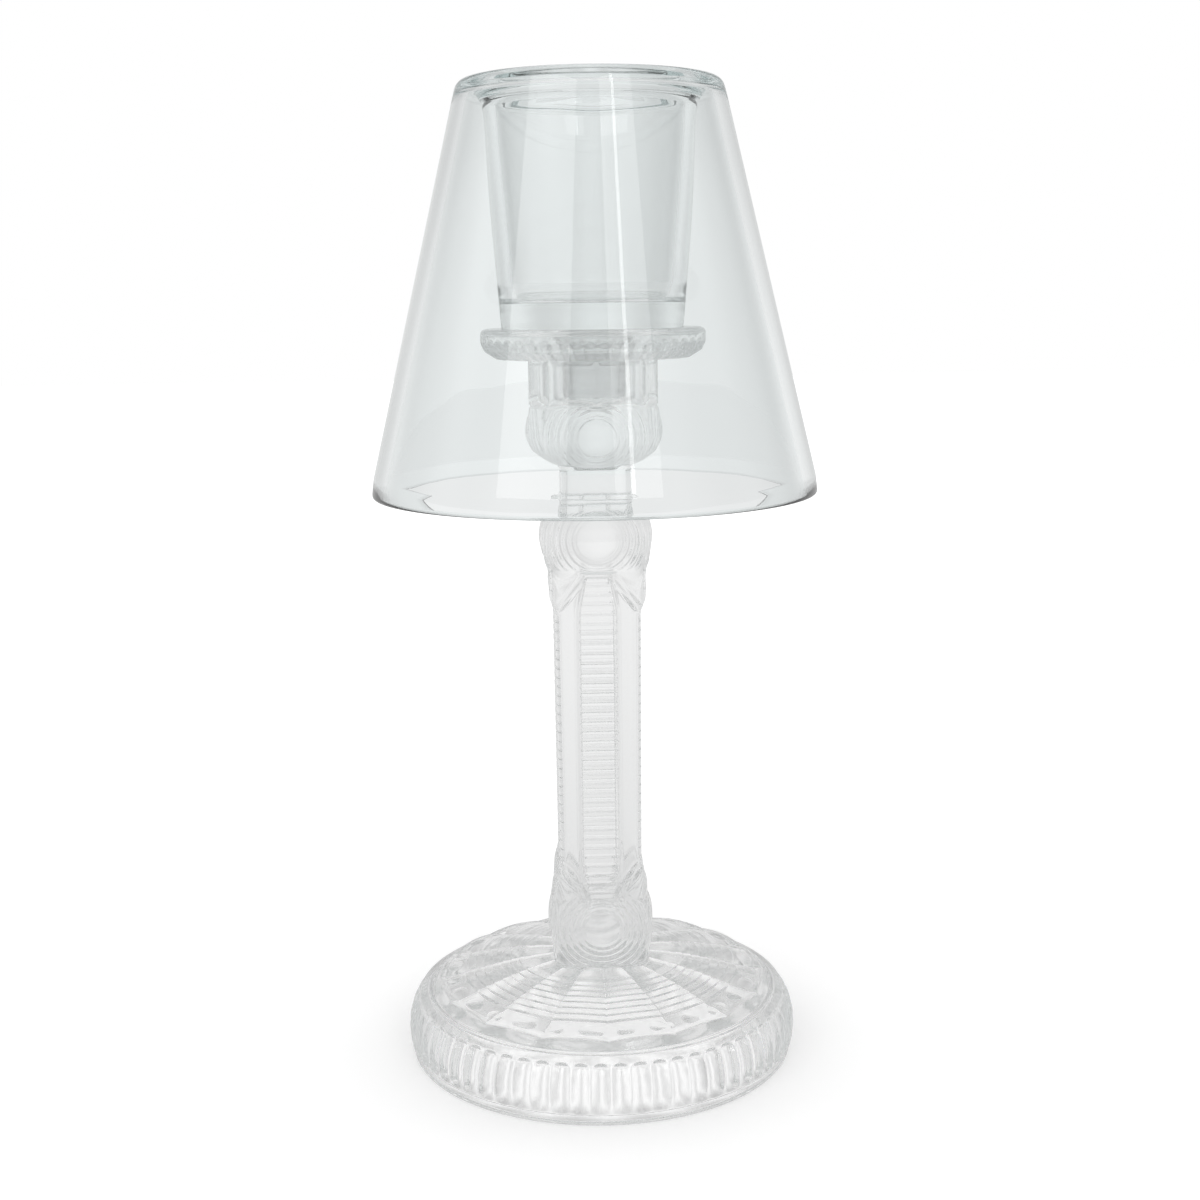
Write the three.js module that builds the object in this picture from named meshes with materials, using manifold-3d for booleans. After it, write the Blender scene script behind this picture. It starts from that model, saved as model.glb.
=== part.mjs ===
import * as THREE from 'three';
import { mergeVertices } from 'three/addons/utils/BufferGeometryUtils.js';
import Module from 'manifold-3d';

// Tea light holder shaped like a small table lamp, in clear glass. A pressed candlestick carries a
// votive cup, whose peg stands in the candlestick's socket in a soft sleeve, and a blown shade rests
// on the cup's rim. All sizes are in millimetres, +Z is up, and the origin is the centre of the foot
// on the surface that it stands on. The front of the ornament faces -Y.

// Clearance between a piece and the seat that carries it
const seatGap = 0.3;

// Foot: a plain foot ring, a rim of concave flutes, and a domed top with petals
const footRingRadius = 56.9;
const footRingHeight = 3.4;
const footRingWidth = 4.6;
const rimRadius = 58.1;
const rimHeight = 18.4;
const rimWidestZ = 8.6;
const rimTurnZ = 13.4;
const rimTurnRadius = 57.2;
const fluteCount = 64;
const fluteDepth = 1.3;
const fluteEndDepth = 0.2;
const fluteTopZ = 17.2;
const fluteTopRadius = 54.8;
const crestRadius = 51.6;
const crestHalfWidth = 0.9;
const crestRise = 0.5;
const domeRise = 10.0;
const domeStartRadius = 13.0;
const domeEdgeRadius = 47.4;
const domeEdgeRise = 3.6;
const domeCurve = 1.55;
const petalCount = 16;
const petalSwell = 1.0;
const terraceCount = 7;
const terraceInnerRadius = 25.0;
const terraceOuterRadius = 41.1;
const terraceCusp = 1.2;
const terraceRiser = 0.35;
const bumpCount = 28;
const bumpRadius = 44.6;
const bumpHalfLength = 2.4;
const bumpHalfWidths = [3.9, 2.7];
const bumpHeight = 1.1;
const bumpTilt = 0.27;
const footWall = 7.0;
const hollowInset = 2.0;

// Stem: a column between two knuckles with a rosette on each of their four sides
const stemCornerPower = 6.5;
const lowerKnuckleRise = 12.2;
const lowerKnuckleHalfWidth = 14.6;
const lowerHornStart = 7.3;
const lowerHornLength = 12.5;
const columnLowFlat = 11.9;
const columnHighFlat = 12.45;
const columnChamfer = 1.5;
const columnLength = 97.5;
const ladderWidth = 10.4;
const ladderStand = 0.3;
const ladderGroove = 0.45;
const gutterWidth = 1.1;
const gutterDepth = 0.4;
const rungCount = 35;
const upperKnuckleHalfWidth = 15.4;
const upperHornStart = 10.3;
const upperHornLength = 10.5;
const upperKnuckleRise = 10.4;
const lowerDiscRadius = 5.7;
const upperDiscRadius = 6.2;
const discStand = 0.9;
const rosetteRingGap = 1.4;
const rosetteRingWidth = 1.0;
const rosetteRingStand = 0.4;
const hornSpread = 12.6;
const hornRoot = 3.8;

// Neck, knop, socket and collar above the stem
const neckHalfWidth = 10.2;
const neckChamfer = 1.9;
const neckLength = 9.8;
const neckOverlap = 2.0;
const knopHalfWidth = 18.9;
const knopHeight = 17.0;
const knopCornerPower = 3.5;
const knopDiscRadius = 5.4;
const socketRadius = 18.3;
const socketHeight = 13.0;
const socketPanels = 8;
const socketPanelDepth = 2.1;
const socketPanelRise = 3.5;
const collarRadius = 31.8;
const collarThickness = 8.5;
const collarRound = 1.9;
const collarUndercut = 4.4;
const collarUndercutRise = 2.2;
const collarFlutedHeight = 4.6;
const collarFlutes = 48;
const collarFluteDepth = 0.8;
const cupSeatDepth = 2.0;
const cupSeatClearance = 0.8;
const boreRadius = 11.9;
const boreDepth = 21.5;

// Votive cup with its peg, and the sleeve on the peg
const cupFootRadius = 26.0;
const cupFootChamfer = 1.4;
const cupFootHeight = 3.5;
const cupFootStep = 0.6;
const cupFloorThickness = 8.8;
const cupFloorRound = 1.6;
const cupHeelHeight = 5.0;
const cupHeight = 63.2;
const cupRimRadius = 30.2;
const cupRimWall = 3.8;
const cupRimRound = 1.7;
const cupLowWall = 4.2;
const pegLength = 19.5;
const pegTaper = 0.6;
const sleeveWall = 1.5;
const sleeveLength = 16.5;
const sleeveRibs = 3;
const sleeveRibHeight = 0.5;
const sleeveRibWidth = 2.4;
const sleeveTopGap = 1.2;

// Shade
const shadeWall = 3.5;
const shadeBottomRadius = 63.9;
const shadeSkirtHeight = 5.5;
const shadeSkirtRise = 0.7;
const shadeConeTopRadius = 38.2;
const shadeConeHeight = 104.8;
const shadeShoulderRadius = 5.0;
const shadeTopThickness = 6.2;
const shadeFlangeThickness = 4.2;
const shadeHoleRadius = 25.4;
const shadeLipWidth = 4.6;
const shadeLipDrop = 3.2;
const shadeRestWidth = 5.4;
const edgeRound = 0.6;

// Heights worked out from the sizes above
const domeTopZ = rimHeight + domeRise;
const lowerRosetteZ = domeTopZ + lowerKnuckleRise;
const columnBottomZ = lowerRosetteZ + lowerHornStart;
const columnTopZ = columnBottomZ + columnLength;
const upperRosetteZ = columnTopZ + upperHornStart;
const neckBottomZ = upperRosetteZ + upperKnuckleRise;
const neckTopZ = neckBottomZ + neckLength;
const knopTopZ = neckTopZ + knopHeight;
const collarBottomZ = knopTopZ + socketHeight;
const collarTopZ = collarBottomZ + collarThickness;
const cupSeatZ = collarTopZ - cupSeatDepth;
const cupBottomZ = cupSeatZ + seatGap;
const cupFloorZ = cupBottomZ + cupFloorThickness;
const cupRimZ = cupBottomZ + cupHeight;
const pegRadius = boreRadius - sleeveWall - 2 * seatGap;
const shadeRestZ = cupRimZ + seatGap;
const shadeTopZ = shadeRestZ + shadeTopThickness;
const shadeConeTopZ = shadeTopZ - shadeShoulderRadius * 0.9;
const shadeBottomZ = shadeConeTopZ - shadeConeHeight - shadeSkirtHeight;

const TAU = 2 * Math.PI;
const QUARTER_TURNS = [0, 1, 2, 3].map((quarter) => quarter * Math.PI / 2);
const UP = new THREE.Vector3(0, 0, 1);

const wasm = await Module();
wasm.setup();

// Closed solids

function solidFrom(geometry) {
  const bare = geometry.index ? geometry.clone() : geometry;
  bare.deleteAttribute('normal');
  bare.deleteAttribute('uv');
  const merged = mergeVertices(bare, 1e-4);
  const corners = [];
  for (let i = 0; i < merged.index.count; i += 3) {
    const [a, b, c] = [0, 1, 2].map((k) => merged.index.getX(i + k));
    if (a !== b && b !== c && c !== a) corners.push(a, b, c);
  }
  const vertProperties = new Float32Array(merged.attributes.position.array);
  let solid = new wasm.Manifold(new wasm.Mesh({ numProp: 3, vertProperties, triVerts: new Uint32Array(corners) }));
  if (solid.volume() < 0) {
    corners.reverse();
    solid = new wasm.Manifold(new wasm.Mesh({ numProp: 3, vertProperties, triVerts: new Uint32Array(corners) }));
  }
  return solid;
}

function geometryFrom(solid) {
  const mesh = solid.getMesh();
  const geometry = new THREE.BufferGeometry();
  geometry.setAttribute('position', new THREE.BufferAttribute(new Float32Array(mesh.vertProperties), 3));
  geometry.setIndex(new THREE.BufferAttribute(new Uint32Array(mesh.triVerts), 1));
  geometry.computeVertexNormals();
  return geometry;
}

function joined(solids) {
  return solids.reduce((whole, solid) => whole.add(solid));
}

// A ring of points round the axis. The radius and the height may each be a function of the angle.
function ring(count, radius, z, turn = 0) {
  return Array.from({ length: count }, (_, i) => {
    const angle = turn + TAU * i / count;
    const r = typeof radius === 'function' ? radius(angle) : radius;
    const height = typeof z === 'function' ? z(angle) : z;
    return new THREE.Vector3(r * Math.cos(angle), r * Math.sin(angle), height);
  });
}

// A ring of points with the same outline on each of four sides, as [out, across] pairs
function fourSided(side, z) {
  const points = side.map(([out, across]) => new THREE.Vector3(out, across, z));
  return QUARTER_TURNS.flatMap((angle) => points.map((point) => point.clone().applyAxisAngle(UP, angle)));
}

// A closed solid through a stack of rings, which may have different numbers of points.
function loft(rings) {
  const points = [];
  const triangles = [];
  const starts = rings.map((points_) => {
    const start = points.length;
    points.push(...points_);
    return start;
  });
  for (let level = 0; level + 1 < rings.length; level += 1) {
    const [low, high] = [rings[level], rings[level + 1]];
    const lowAt = (i) => starts[level] + i % low.length;
    const highAt = (i) => starts[level + 1] + i % high.length;
    let [i, j] = [0, 0];
    while (i < low.length || j < high.length) {
      const lowNext = (i + 1) / low.length;
      const highNext = (j + 1) / high.length;
      if (j >= high.length || (i < low.length && lowNext <= highNext + 1e-9)) {
        triangles.push(lowAt(i), lowAt(i + 1), highAt(j));
        i += 1;
      } else {
        triangles.push(lowAt(i), highAt(j + 1), highAt(j));
        j += 1;
      }
    }
  }
  const close = (level, flipped) => {
    const end = rings[level];
    const centre = points.length;
    const middleZ = end.reduce((sum, point) => sum + point.z, 0) / end.length;
    points.push(new THREE.Vector3(0, 0, middleZ));
    end.forEach((_, i) => {
      const [a, b] = [starts[level] + i, starts[level] + (i + 1) % end.length];
      triangles.push(...(flipped ? [b, a, centre] : [a, b, centre]));
    });
  };
  close(0, true);
  close(rings.length - 1, false);
  const geometry = new THREE.BufferGeometry().setFromPoints(points);
  geometry.setIndex(triangles);
  return solidFrom(geometry);
}

// A solid of revolution round +Z from [radius, z] pairs
function revolved(profile, segments) {
  const geometry = new THREE.LatheGeometry(profile.map(([r, z]) => new THREE.Vector2(r, z)), segments);
  return solidFrom(geometry.rotateX(Math.PI / 2));
}

// Points of a round corner, from angle start to angle end in degrees, about [r, z]
function arc([r, z], radius, start, end, steps) {
  return Array.from({ length: steps + 1 }, (_, i) => {
    const angle = THREE.MathUtils.degToRad(start + (end - start) * i / steps);
    return [r + radius * Math.cos(angle), z + radius * Math.sin(angle)];
  });
}

// Radius at an angle of a square with round corners
function squircle(halfWidth, power = stemCornerPower) {
  return (angle) => halfWidth
    / (Math.abs(Math.cos(angle)) ** power + Math.abs(Math.sin(angle)) ** power) ** (1 / power);
}

function turned(solid, angle) {
  return solid.rotate([0, 0, THREE.MathUtils.radToDeg(angle)]);
}

// Foot

function domeZ(radius) {
  const along = Math.max(0, (radius - domeStartRadius) / (domeEdgeRadius - domeStartRadius));
  return domeTopZ - (domeRise - domeEdgeRise) * along ** domeCurve;
}

function petalLift(angle, radius) {
  const lobe = Math.abs(Math.sin(petalCount / 2 * angle)) - 1;
  return petalSwell * lobe * Math.min(1, radius / terraceOuterRadius);
}

function foot() {
  const rimPoints = fluteCount * 2;
  const domePoints = petalCount * 4;
  const fluted = (ridge, depth) => (angle) => ridge - depth * Math.sin(fluteCount / 2 * angle) ** 2;
  const scalloped = (radius) => (angle) => radius
    - terraceCusp * (1 - Math.abs(Math.sin(petalCount / 2 * angle))) * radius / terraceOuterRadius;
  const flank = [
    ring(rimPoints, footRingRadius, 0),
    ring(rimPoints, footRingRadius, footRingHeight),
    ring(rimPoints, fluted((footRingRadius + rimRadius) / 2, fluteEndDepth), footRingHeight + fluteEndDepth),
    ring(rimPoints, fluted(rimRadius, fluteDepth), rimWidestZ),
    ring(rimPoints, fluted(rimTurnRadius, fluteDepth), rimTurnZ),
    ring(rimPoints, fluted(fluteTopRadius, fluteEndDepth), fluteTopZ),
    ring(domePoints * 2, crestRadius + crestHalfWidth, rimHeight),
    ring(domePoints, crestRadius, rimHeight + crestRise),
    ring(domePoints, crestRadius - crestHalfWidth, rimHeight),
  ];
  const top = [
    ring(domePoints, domeEdgeRadius, (angle) => domeZ(domeEdgeRadius) + petalLift(angle, domeEdgeRadius)),
  ];
  const pitch = (terraceOuterRadius - terraceInnerRadius) / (terraceCount - 1);
  for (let step = terraceCount - 1; step >= 0; step -= 1) {
    const radius = terraceInnerRadius + pitch * step;
    const low = domeZ(radius + pitch * 0.75);
    const high = domeZ(radius - pitch * 0.25);
    top.push(ring(domePoints, scalloped(radius + terraceRiser), (angle) => low + petalLift(angle, radius)));
    top.push(ring(domePoints, scalloped(radius), (angle) => high + petalLift(angle, radius)));
  }
  top.push(ring(domePoints / 2, domeStartRadius - 1, domeTopZ));
  const mouthRadius = footRingRadius - footRingWidth;
  const turns = [
    crestRadius - hollowInset, domeEdgeRadius - hollowInset, terraceOuterRadius, terraceInnerRadius,
  ];
  const hollow = [[0, -1], [mouthRadius, -1], [mouthRadius, edgeRound]];
  turns.forEach((radius) => hollow.push([radius, domeZ(radius) - footWall]));
  hollow.push([0, domeTopZ - footWall]);
  const body = loft([...flank, ...top]);
  return joined([body, ...bumps()]).subtract(revolved(hollow, domePoints / 2));
}

// Oval bumps between the terraces and the rim, wide and narrow in turn, with a gap facing -Y
function bumps() {
  return Array.from({ length: bumpCount }, (_, i) => {
    const angle = TAU * (i + 0.5) / bumpCount;
    const bump = new THREE.SphereGeometry(1, 6, 3);
    bump.rotateX(Math.PI / 2);
    bump.scale(bumpHalfLength, bumpHalfWidths[i % 2], bumpHeight);
    bump.rotateY(bumpTilt);
    bump.translate(bumpRadius, 0, domeZ(bumpRadius) + petalLift(angle, bumpRadius));
    return turned(solidFrom(bump), angle);
  });
}

// Stem

// A knuckle is a squarish block. Towards the column it ends in four pointed horns, one on each
// corner, with a notch between them that lets the ladder through. Its profile gives the distance
// from the rosette's centre towards the column, and the half width there as a share of the widest.
function knuckle({ rosetteZ, side, profile, hornStart, hornLength, halfWidth, discRadius }) {
  const columns = 24;
  const clear = hornStart + hornLength + hornSpread;
  const rings = profile.map(([along, share]) => (
    ring(columns, squircle(halfWidth * share), rosetteZ + side * along)
  ));
  if (side < 0) rings.reverse();
  const notch = new THREE.Shape([
    new THREE.Vector2(-hornRoot, hornStart),
    new THREE.Vector2(hornRoot, hornStart),
    new THREE.Vector2(hornSpread, hornStart + hornLength),
    new THREE.Vector2(hornSpread, clear),
    new THREE.Vector2(-hornSpread, clear),
    new THREE.Vector2(-hornSpread, hornStart + hornLength),
  ]);
  const depth = 4 * halfWidth;
  const prism = new THREE.ExtrudeGeometry(notch, { depth, bevelEnabled: false });
  prism.translate(0, 0, -depth / 2);
  prism.rotateX(Math.PI / 2);
  prism.scale(1, 1, side);
  prism.translate(0, 0, rosetteZ);
  const cut = solidFrom(prism);
  const block = loft(rings).subtract(cut).subtract(turned(cut, Math.PI / 2));
  return joined([block, ...rosettes(halfWidth, rosetteZ, discRadius)]);
}

// A rosette on each of four sides: a domed disc inside one raised ring
function rosettes(halfWidth, z, discRadius) {
  const inner = discRadius + rosetteRingGap;
  const outer = inner + rosetteRingWidth;
  const profile = [
    [0, -discRadius / 2], [outer, -discRadius / 2], [outer, rosetteRingStand], [inner, rosetteRingStand],
    [discRadius, 0], [discRadius * 0.6, discStand * 0.8], [0, discStand],
  ];
  const rosette = revolved(profile, 16).rotate([90, 0, 0]).translate([0, -halfWidth, z]);
  return QUARTER_TURNS.map((angle) => turned(rosette, angle));
}

// Distance of the column's faces from the axis, which grows a little towards the top
function columnFlat(z) {
  return THREE.MathUtils.lerp(columnLowFlat, columnHighFlat, (z - columnBottomZ) / columnLength);
}

// A square column with chamfered corners. A shallow channel down each side carries the ladder and
// leaves a gutter along both of its edges.
function column() {
  const channel = ladderWidth / 2 + gutterWidth;
  const level = (z) => {
    const flat = columnFlat(z);
    const corner = flat - columnChamfer;
    return fourSided([
      [flat, -corner], [flat, -channel], [flat - gutterDepth, -channel + gutterDepth],
      [flat - gutterDepth, channel - gutterDepth], [flat, channel], [flat, corner],
    ], z);
  };
  const shaft = loft([level(lowerRosetteZ), level(upperRosetteZ)]);
  return joined([shaft, ...QUARTER_TURNS.map((angle) => turned(ladder(), angle))]);
}

// The raised panel on the column's side towards -Y, with a groove between rungs
function ladder() {
  const pitch = columnLength / rungCount;
  const root = columnLowFlat - ladderWidth / 4;
  const face = (z) => columnFlat(z) + ladderStand;
  const outline = [[root, columnBottomZ - pitch], [face(columnBottomZ), columnBottomZ - pitch]];
  for (let rung = 0; rung <= rungCount; rung += 1) {
    const z = columnBottomZ + rung * pitch;
    outline.push([face(z) - ladderGroove, z], [face(z), z + pitch * 0.25]);
  }
  outline.push([root, columnTopZ + pitch]);
  const shape = new THREE.Shape(outline.map(([x, z]) => new THREE.Vector2(x, z)));
  const panel = new THREE.ExtrudeGeometry(shape, { depth: ladderWidth, bevelEnabled: false });
  panel.translate(0, 0, -ladderWidth / 2);
  panel.rotateX(Math.PI / 2);
  return turned(solidFrom(panel), -Math.PI / 2);
}

function neck() {
  const corner = neckHalfWidth - neckChamfer;
  const side = [[neckHalfWidth, -corner], [neckHalfWidth, corner]];
  return loft([fourSided(side, neckBottomZ - neckOverlap), fourSided(side, neckTopZ + neckOverlap)]);
}

// A squarish bowl with a rosette on each side
function knop() {
  const columns = 24;
  const bowl = [[0, 0.58], [0.12, 0.79], [0.27, 0.93], [0.55, 1.0], [0.85, 0.98], [1, 0.95]];
  const rings = bowl.map(([along, width]) => (
    ring(columns, squircle(knopHalfWidth * width, knopCornerPower), neckTopZ + knopHeight * along)
  ));
  return joined([loft(rings), ...rosettes(knopHalfWidth, neckTopZ + knopHeight / 2, knopDiscRadius)]);
}

function socket() {
  const scooped = (depth) => (angle) => socketRadius
    - depth * Math.abs(Math.sin(socketPanels / 2 * angle)) ** 0.8;
  const points = socketPanels * 4;
  return loft([
    ring(points, socketRadius, knopTopZ - socketPanelRise / 3),
    ring(points, scooped(socketPanelDepth * 0.3), knopTopZ + socketPanelRise / 12),
    ring(points, scooped(socketPanelDepth), knopTopZ + socketPanelRise),
    ring(points, scooped(socketPanelDepth), collarBottomZ + collarUndercutRise / 2),
  ]);
}

function collar() {
  const points = collarFlutes * 2;
  const fluted = (radius, depth) => (angle) => radius - depth * Math.sin(collarFlutes / 2 * angle) ** 2;
  const undercutZ = collarBottomZ + collarUndercutRise;
  return loft([
    ring(points / 2, socketRadius, collarBottomZ - edgeRound),
    ring(points, fluted(collarRadius - collarUndercut, collarFluteDepth * 0.6), collarBottomZ),
    ring(points, fluted(collarRadius - collarUndercut / 4, collarFluteDepth), undercutZ),
    ring(points, fluted(collarRadius, collarFluteDepth * 0.4), collarBottomZ + collarFlutedHeight),
    ring(points / 2, collarRadius, collarTopZ - collarRound),
    ring(points / 2, collarRadius - collarRound * 0.3, collarTopZ - collarRound * 0.3),
    ring(points / 2, collarRadius - collarRound, collarTopZ),
  ]);
}

function candlestick() {
  const lowerTip = lowerHornStart + lowerHornLength;
  const upperTip = upperHornStart + upperHornLength;
  const lower = knuckle({
    rosetteZ: lowerRosetteZ, side: 1, hornStart: lowerHornStart, hornLength: lowerHornLength,
    halfWidth: lowerKnuckleHalfWidth, discRadius: lowerDiscRadius,
    profile: [[-lowerKnuckleRise * 1.25, 0.86], [-lowerKnuckleRise, 0.91], [-lowerKnuckleRise * 0.6, 0.97],
      [0, 1], [lowerTip * 0.3, 0.96], [lowerTip * 0.75, 0.93], [lowerTip, 0.89]],
  });
  const upper = knuckle({
    rosetteZ: upperRosetteZ, side: -1, hornStart: upperHornStart, hornLength: upperHornLength,
    halfWidth: upperKnuckleHalfWidth, discRadius: upperDiscRadius,
    profile: [[-upperKnuckleRise, 0.66], [-upperKnuckleRise * 0.62, 0.87], [-upperKnuckleRise * 0.26, 0.98],
      [0, 1], [upperTip * 0.16, 0.98], [upperTip * 0.55, 0.91], [upperTip * 0.85, 0.93], [upperTip, 0.9]],
  });
  const seat = revolved([
    [0, cupSeatZ - boreDepth], [boreRadius, cupSeatZ - boreDepth], [boreRadius, cupSeatZ - edgeRound],
    [boreRadius + edgeRound, cupSeatZ], [cupFootRadius + cupSeatClearance, cupSeatZ],
    [cupFootRadius + cupSeatClearance, collarTopZ + cupSeatDepth], [0, collarTopZ + cupSeatDepth],
  ], 40);
  return joined([foot(), lower, column(), upper, neck(), knop(), socket(), collar()]).subtract(seat);
}

// Cup, sleeve and shade

function votiveCup() {
  const rimRoundZ = cupRimZ - cupRimRound;
  return revolved([
    [0, cupBottomZ - pegLength], [pegRadius - pegTaper - edgeRound, cupBottomZ - pegLength],
    [pegRadius - pegTaper, cupBottomZ - pegLength + edgeRound], [pegRadius, cupBottomZ],
    [cupFootRadius - cupFootChamfer, cupBottomZ],
    [cupFootRadius - cupFootChamfer * 0.3, cupBottomZ + edgeRound],
    [cupFootRadius, cupBottomZ + cupFootHeight], [cupFootRadius + cupFootStep, cupFloorZ + cupFootHeight],
    ...arc([cupRimRadius - cupRimRound, rimRoundZ], cupRimRound, 0, 90, 2),
    ...arc([cupRimRadius - cupRimWall + cupRimRound, rimRoundZ], cupRimRound, 90, 180, 2),
    [cupFootRadius + cupFootStep - cupLowWall, cupFloorZ + cupHeelHeight],
    [cupFootRadius - cupLowWall, cupFloorZ + cupFloorRound],
    [cupFootRadius - cupLowWall - cupFloorRound, cupFloorZ], [0, cupFloorZ],
  ], 40);
}

// A soft sleeve that holds the peg in the socket: a tube with ribs round its outside
function pegSleeve() {
  const inner = pegRadius + seatGap;
  const outer = inner + sleeveWall - sleeveRibHeight;
  const top = cupBottomZ - sleeveTopGap;
  const pitch = sleeveLength / sleeveRibs;
  const profile = [[inner, top], [outer, top]];
  for (let rib = 0; rib < sleeveRibs; rib += 1) {
    const z = top - (rib + 0.5) * pitch;
    profile.push([outer, z + sleeveRibWidth / 2], [boreRadius - seatGap, z], [outer, z - sleeveRibWidth / 2]);
  }
  profile.push([outer, top - sleeveLength], [inner, top - sleeveLength], [inner, top]);
  return revolved(profile, 24);
}

function shade() {
  const skirtTopZ = shadeBottomZ + shadeSkirtHeight;
  const skirtTopRadius = shadeBottomRadius - shadeSkirtRise;
  const shoulder = [shadeConeTopRadius - shadeShoulderRadius, shadeTopZ - shadeShoulderRadius];
  const innerTopRadius = shadeConeTopRadius - shadeWall;
  const flangeZ = shadeTopZ - shadeFlangeThickness;
  const lipZ = shadeTopZ - shadeLipDrop;
  const restRadius = shadeHoleRadius + shadeRestWidth;
  const profile = [
    [shadeBottomRadius - edgeRound, shadeBottomZ], [shadeBottomRadius, shadeBottomZ + edgeRound],
    [skirtTopRadius, skirtTopZ], [shadeConeTopRadius, shadeConeTopZ],
    ...arc(shoulder, shadeShoulderRadius, 10, 80, 3),
    [shadeHoleRadius + shadeLipWidth, shadeTopZ],
    [shadeHoleRadius + edgeRound, lipZ + edgeRound / 2], [shadeHoleRadius, lipZ - edgeRound],
    [shadeHoleRadius, shadeRestZ + edgeRound], [shadeHoleRadius + edgeRound, shadeRestZ],
    [restRadius - edgeRound, shadeRestZ], [restRadius, shadeRestZ + edgeRound],
    [restRadius + edgeRound, flangeZ], [innerTopRadius - 2 * edgeRound, flangeZ],
    [innerTopRadius, flangeZ - 2 * edgeRound],
    [skirtTopRadius - shadeWall, skirtTopZ], [shadeBottomRadius - shadeWall, shadeBottomZ + edgeRound],
    [shadeBottomRadius - shadeWall + edgeRound, shadeBottomZ],
  ];
  return revolved([...profile, profile[0]], 48);
}

// Assembly

function glass(color, opacity) {
  return new THREE.MeshStandardMaterial({ color, roughness: 0.06, metalness: 0, transparent: true, opacity });
}

function piece(name, solid, material) {
  const mesh = new THREE.Mesh(geometryFrom(solid), material);
  mesh.name = name;
  return mesh;
}

const pressedGlass = glass('#e9ebea', 0.45);
const blownGlass = glass('#e2ebe8', 0.3);
const cupGlass = glass('#e4ebe9', 0.35);
const clearRubber = new THREE.MeshStandardMaterial({ color: '#e6e6e2', roughness: 0.45, metalness: 0 });

const teaLightHolder = new THREE.Group();
const cupGroup = new THREE.Group();
cupGroup.add(piece('votive_cup', votiveCup(), cupGlass), piece('peg_sleeve', pegSleeve(), clearRubber));
cupGroup.add(piece('glass_shade', shade(), blownGlass));
teaLightHolder.add(piece('candlestick', candlestick(), pressedGlass), cupGroup);

export default teaLightHolder;
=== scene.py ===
import math

import bpy
import numpy as np
from mathutils import Matrix, Vector


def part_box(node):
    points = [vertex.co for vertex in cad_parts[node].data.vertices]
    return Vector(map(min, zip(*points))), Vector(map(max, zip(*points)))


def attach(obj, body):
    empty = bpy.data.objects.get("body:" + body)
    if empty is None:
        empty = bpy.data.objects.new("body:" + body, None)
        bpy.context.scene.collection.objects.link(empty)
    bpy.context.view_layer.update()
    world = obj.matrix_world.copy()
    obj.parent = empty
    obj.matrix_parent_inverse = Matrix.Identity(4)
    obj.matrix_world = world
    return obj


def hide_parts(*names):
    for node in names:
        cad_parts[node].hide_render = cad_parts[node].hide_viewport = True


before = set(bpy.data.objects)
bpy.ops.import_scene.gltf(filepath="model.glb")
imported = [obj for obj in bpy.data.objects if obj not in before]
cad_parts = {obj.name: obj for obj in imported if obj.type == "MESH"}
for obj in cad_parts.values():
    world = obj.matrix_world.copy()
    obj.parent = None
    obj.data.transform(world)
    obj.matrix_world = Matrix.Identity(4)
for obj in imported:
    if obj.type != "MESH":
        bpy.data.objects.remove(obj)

# Tea light holder in clear glass: a pressed candlestick, a votive cup with a peg and a blown shade.
# Shapes are worked out in millimetres in the frame's own axes, and become metres as meshes are made.
# The front of the ornament faces -Y. Corners of a profile are (radius, z, fillet).

MM = 0.001
TAU = 2 * math.pi


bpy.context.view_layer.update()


def node_range(node):
    """The lowest and highest Z of a CAD node, and its largest radius, in millimetres."""
    low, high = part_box(node)
    return low.z / MM, high.z / MM, high.x / MM


_, COLLAR_TOP, RIM_RADIUS = node_range("candlestick")
PEG_END, CUP_TOP, CUP_RADIUS = node_range("votive_cup")
SLEEVE_END, SLEEVE_TOP, SLEEVE_RADIUS = node_range("peg_sleeve")
SHADE_END, SHADE_TOP, SHADE_RADIUS = node_range("glass_shade")

# Columns of each stretch of the meshes
FOOT_COLUMNS = 768
STEM_COLUMNS = 384
SHADE_COLUMNS = 256
PLAIN_COLUMNS = 192
SLEEVE_COLUMNS = 96
# Where the first row stands that follows another stretch, as a share of its own stretch
FIRST_ROW = 0.08

# The hollow under the foot, and the plain ring that the foot stands on
FOOT_HOLLOW = [(2.0, 21.4, 0), (25.0, 20.2, 3.0), (41.1, 16.7, 3.0), (45.4, 15.6, 3.0), (49.6, 14.4, 2.0)]
FOOT_RING_RADIUS = 56.9
FOOT_RING_INNER = 52.3
FOOT_RING_HEIGHT = 3.4
FOOT_RING_FILLET = 0.8
FOOT_RING_UPRIGHT = 0.8  # share of its height

# The fluted rim. The four powers shape a scoop's ends, their corners, its section and its lip
FLUTE_COUNT = 64
FLUTE_DEPTH = 1.5
FLUTE_LOW = 3.7
FLUTE_HIGH = 17.2
FLUTE_MARGIN = 0.1
FLUTE_ROWS = 34
FLUTE_END_POWER = 7
FLUTE_CORNER_POWERS = (2.4, 4)  # across the flute and along it
FLUTE_SECTION_POWER = 1.7
FLUTE_LIP_POWER = 0.9
FLUTE_TOP_RADIUS = 54.8
RIM_PROFILE = [(FOOT_RING_HEIGHT, 57.3), (FLUTE_LOW, 57.75), (8.6, RIM_RADIUS - 0.02),
               (13.5, 57.1), (FLUTE_HIGH + FLUTE_MARGIN, FLUTE_TOP_RADIUS)]

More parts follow.
